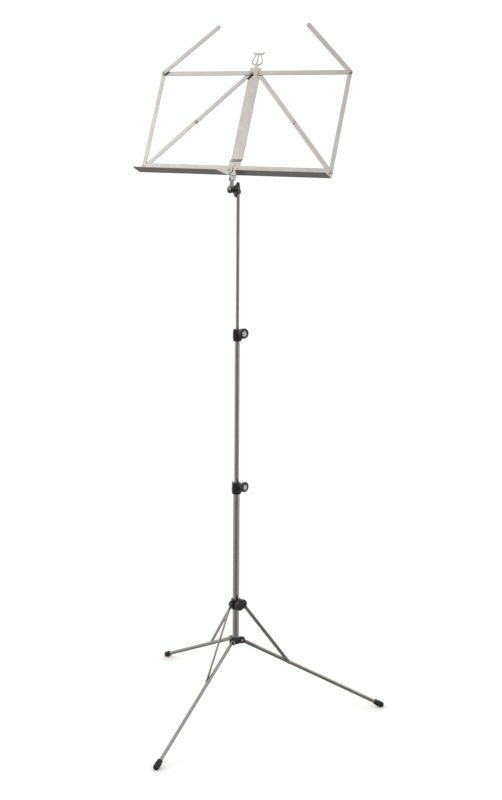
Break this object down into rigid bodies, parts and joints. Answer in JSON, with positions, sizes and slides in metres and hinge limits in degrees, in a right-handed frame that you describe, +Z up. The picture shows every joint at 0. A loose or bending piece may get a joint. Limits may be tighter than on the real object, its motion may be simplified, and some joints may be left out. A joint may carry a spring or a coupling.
{
  "type": "folding music stand",
  "caption": "Folding sheet-music stand: tripod with sliding collar, telescoping clamped column, tilting wire-type desk of riveted strips with ledge and page arms.",
  "frame": {"origin": "on the floor, on the axis of the column", "axes": "+Z up along the column, -Y towards the musician, +X along the tray to the musician's right"},
  "size_m": [0.6082, 0.5285, 1.5501],
  "materials": {
    "nickel_steel": "satin nickel plating",
    "zinc_steel": "bright zinc plating",
    "black_plastic": "moulded black plastic, satin",
    "rubber_black": "matt black rubber",
    "knob_face_metal": "satin silver inlay",
    "bush_plastic": "dark grey plastic",
    "washer_fibre": "black friction washer",
    "brass_insert": "turned brass"
  },
  "bodies": {
    "base": {"lower_tube": "nickel_steel", "base_hub": "black_plastic", "hub_rivets": "nickel_steel", "lower_clamp": "black_plastic", "lower_clamp_nut": "zinc_steel"},
    "lower_knob_body": {"lower_knob": "black_plastic", "lower_knob_face": "knob_face_metal", "lower_screw": "zinc_steel"},
    "middle_column": {"mid_tube": "nickel_steel", "mid_tube_bush": "bush_plastic", "upper_clamp": "black_plastic", "upper_clamp_nut": "zinc_steel"},
    "upper_knob_body": {"upper_knob": "black_plastic", "upper_knob_face": "knob_face_metal", "upper_screw": "zinc_steel"},
    "rod_carrier": {"rod_bush": "bush_plastic"},
    "rod": {"top_rod": "nickel_steel", "rod_rings": "nickel_steel"},
    "desk": {"spine": "nickel_steel", "spine_rivets": "nickel_steel", "tilt_bracket": "zinc_steel", "bracket_rivets": "nickel_steel", "tilt_bolt": "zinc_steel", "tilt_washer": "washer_fibre"},
    "tilt_knob_body": {"tilt_knob": "black_plastic", "tilt_knob_insert": "brass_insert"},
    "collar": {"sliding_collar": "black_plastic", "collar_rivets": "nickel_steel", "collar_nut": "zinc_steel"},
    "collar_knob_body": {"collar_knob": "black_plastic", "collar_screw": "zinc_steel"},
    "leg_front_body": {"leg_front": "nickel_steel", "foot_front": "rubber_black"},
    "strut_front_body": {"strut_front": "nickel_steel"},
    "leg_right_body": {"leg_right": "nickel_steel", "foot_right": "rubber_black"},
    "strut_right_body": {"strut_right": "nickel_steel"},
    "leg_left_body": {"leg_left": "nickel_steel", "foot_left": "rubber_black"},
    "strut_left_body": {"strut_left": "nickel_steel"},
    "brace_upper_left_body": {"brace_upper_left": "nickel_steel", "brace_buffer": "rubber_black"},
    "tray_right_body": {"tray_right": "nickel_steel", "tray_rivet_right": "nickel_steel"},
    "top_arm_right_body": {"top_arm_right": "nickel_steel", "arm_rivet_right": "nickel_steel"},
    "side_strut_right_body": {"side_strut_right": "nickel_steel"},
    "extension_arm_right_body": {"extension_arm_right": "nickel_steel"},
    "brace_upper_right_body": {"brace_upper_right": "nickel_steel"},
    "brace_lower_right_body": {"brace_lower_right": "nickel_steel"},
    "tray_left_body": {"tray_left": "nickel_steel", "tray_rivet_left": "nickel_steel"},
    "top_arm_left_body": {"top_arm_left": "nickel_steel", "arm_rivet_left": "nickel_steel"},
    "side_strut_left_body": {"side_strut_left": "nickel_steel"},
    "extension_arm_left_body": {"extension_arm_left": "nickel_steel"},
    "brace_lower_left_body": {"brace_lower_left": "nickel_steel"}
  },
  "joints": [
    {"name": "middle_column_slide", "type": "slide", "parent": "base", "child": "middle_column", "axis": [0, 0, 1], "range_m": [-0.312, 0.02]},
    {"name": "rod_slide", "type": "slide", "parent": "middle_column", "child": "rod_carrier", "axis": [0, 0, 1], "range_m": [-0.24, 0.02]},
    {"name": "desk_swivel", "type": "hinge", "parent": "rod_carrier", "child": "rod", "pos_m": [0, 0, 0.833], "axis": [0, 0, 1], "continuous": true},
    {"name": "desk_tilt", "type": "hinge", "parent": "rod", "child": "desk", "pos_m": [0, -0.029, 1.202], "axis": [-1, 0, 0], "range_deg": [-173, 57]},
    {"name": "tilt_knob_turn", "type": "hinge", "parent": "desk", "child": "tilt_knob_body", "pos_m": [0.008, -0.029, 1.202], "axis": [1, 0, 0], "continuous": true},
    {"name": "lower_knob_turn", "type": "hinge", "parent": "base", "child": "lower_knob_body", "pos_m": [0.01956, -0.00416, 0.5411], "axis": [0.9781, -0.2079, 0], "continuous": true},
    {"name": "upper_knob_turn", "type": "hinge", "parent": "middle_column", "child": "upper_knob_body", "pos_m": [0.01827, -0.00813, 0.8906], "axis": [0.9135, -0.4067, 0], "continuous": true},
    {"name": "collar_knob_turn", "type": "hinge", "parent": "collar", "child": "collar_knob_body", "pos_m": [0.01732, -0.01, 0.262], "axis": [0.866, -0.5, 0], "continuous": true},
    {"name": "collar_slide", "type": "slide", "parent": "base", "child": "collar", "axis": [0, 0, 1], "range_m": [0, 0.2127]},
    {"name": "leg_front_fold", "type": "hinge", "parent": "base", "child": "leg_front_body", "pos_m": [0, -0.015, 0.1685], "axis": [-1, 0, 0], "range_deg": [-0.1, 113.62]},
    {"name": "strut_front_swing", "type": "hinge", "parent": "collar", "child": "strut_front_body", "pos_m": [0, -0.015, 0.2605], "axis": [-1, 0, 0], "range_deg": [-34.98, 0.1]},
    {"name": "leg_right_fold", "type": "hinge", "parent": "base", "child": "leg_right_body", "pos_m": [0.01299, 0.0075, 0.1685], "axis": [0.5, -0.866, 0], "range_deg": [-0.1, 113.62]},
    {"name": "strut_right_swing", "type": "hinge", "parent": "collar", "child": "strut_right_body", "pos_m": [0.01299, 0.0075, 0.2605], "axis": [0.5, -0.866, 0], "range_deg": [-34.98, 0.1]},
    {"name": "leg_left_fold", "type": "hinge", "parent": "base", "child": "leg_left_body", "pos_m": [-0.01299, 0.0075, 0.1685], "axis": [0.5, 0.866, 0], "range_deg": [-0.1, 113.62]},
    {"name": "strut_left_swing", "type": "hinge", "parent": "collar", "child": "strut_left_body", "pos_m": [-0.01299, 0.0075, 0.2605], "axis": [0.5, 0.866, 0], "range_deg": [-34.98, 0.1]},
    {"name": "tray_right_fold", "type": "hinge", "parent": "desk", "child": "tray_right_body", "pos_m": [0.01, -0.02145, 1.24334], "axis": [0, -0.9205, 0.3907], "range_deg": [0, 82]},
    {"name": "top_arm_right_fold", "type": "hinge", "parent": "desk", "child": "top_arm_right_body", "pos_m": [0.01, 0.06822, 1.44536], "axis": [0, -0.9205, 0.3907], "range_deg": [-0.1, 82.2]},
    {"name": "side_strut_right_fold", "type": "hinge", "parent": "tray_right_body", "child": "side_strut_right_body", "pos_m": [0.2275, -0.01979, 1.24263], "axis": [0, -0.9205, 0.3907], "range_deg": [-82.2, 0.1]},
    {"name": "brace_upper_right_fold", "type": "hinge", "parent": "desk", "child": "brace_upper_right_body", "pos_m": [0.01, 0.06987, 1.44466], "axis": [0, -0.9205, 0.3907], "range_deg": [-40.47, 0.1]},
    {"name": "brace_lower_right_fold", "type": "hinge", "parent": "tray_right_body", "child": "brace_lower_right_body", "pos_m": [0.2275, -0.01813, 1.24193], "axis": [0, -0.9205, 0.3907], "range_deg": [-0.1, 46.68]},
    {"name": "extension_arm_right_swing", "type": "hinge", "parent": "top_arm_right_body", "child": "extension_arm_right_body", "pos_m": [0.2275, 0.0649, 1.44677], "axis": [0, -0.9205, 0.3907], "range_deg": [-130, 42]},
    {"name": "tray_left_fold", "type": "hinge", "parent": "desk", "child": "tray_left_body", "pos_m": [-0.01, -0.02145, 1.24334], "axis": [0, 0.9205, -0.3907], "range_deg": [0, 82]},
    {"name": "top_arm_left_fold", "type": "hinge", "parent": "desk", "child": "top_arm_left_body", "pos_m": [-0.01, 0.06822, 1.44536], "axis": [0, 0.9205, -0.3907], "range_deg": [-0.1, 82.2]},
    {"name": "side_strut_left_fold", "type": "hinge", "parent": "tray_left_body", "child": "side_strut_left_body", "pos_m": [-0.2275, -0.01979, 1.24263], "axis": [0, 0.9205, -0.3907], "range_deg": [-82.2, 0.1]},
    {"name": "brace_upper_left_fold", "type": "hinge", "parent": "desk", "child": "brace_upper_left_body", "pos_m": [-0.01, 0.06987, 1.44466], "axis": [0, 0.9205, -0.3907], "range_deg": [-40.47, 0.1]},
    {"name": "brace_lower_left_fold", "type": "hinge", "parent": "tray_left_body", "child": "brace_lower_left_body", "pos_m": [-0.2275, -0.01813, 1.24193], "axis": [0, 0.9205, -0.3907], "range_deg": [-0.1, 46.68]},
    {"name": "extension_arm_left_swing", "type": "hinge", "parent": "top_arm_left_body", "child": "extension_arm_left_body", "pos_m": [-0.2275, 0.0649, 1.44677], "axis": [0, 0.9205, -0.3907], "range_deg": [-130, 42]}
  ],
  "couplings": [
    {"joint": "leg_front_fold", "follows": "collar_slide", "rad_per_m": 9.307},
    {"joint": "strut_front_swing", "follows": "collar_slide", "rad_per_m": -2.8537},
    {"joint": "leg_right_fold", "follows": "collar_slide", "rad_per_m": 9.307},
    {"joint": "strut_right_swing", "follows": "collar_slide", "rad_per_m": -2.8537},
    {"joint": "leg_left_fold", "follows": "collar_slide", "rad_per_m": 9.307},
    {"joint": "strut_left_swing", "follows": "collar_slide", "rad_per_m": -2.8537},
    {"joint": "top_arm_right_fold", "follows": "tray_right_fold", "ratio": 1},
    {"joint": "side_strut_right_fold", "follows": "tray_right_fold", "ratio": -1},
    {"joint": "brace_upper_right_fold", "follows": "tray_right_fold", "ratio": -0.49111},
    {"joint": "brace_lower_right_fold", "follows": "tray_right_fold", "ratio": 0.56681},
    {"joint": "top_arm_left_fold", "follows": "tray_left_fold", "ratio": 1},
    {"joint": "side_strut_left_fold", "follows": "tray_left_fold", "ratio": -1},
    {"joint": "brace_upper_left_fold", "follows": "tray_left_fold", "ratio": -0.49111},
    {"joint": "brace_lower_left_fold", "follows": "tray_left_fold", "ratio": 0.56681}
  ]
}
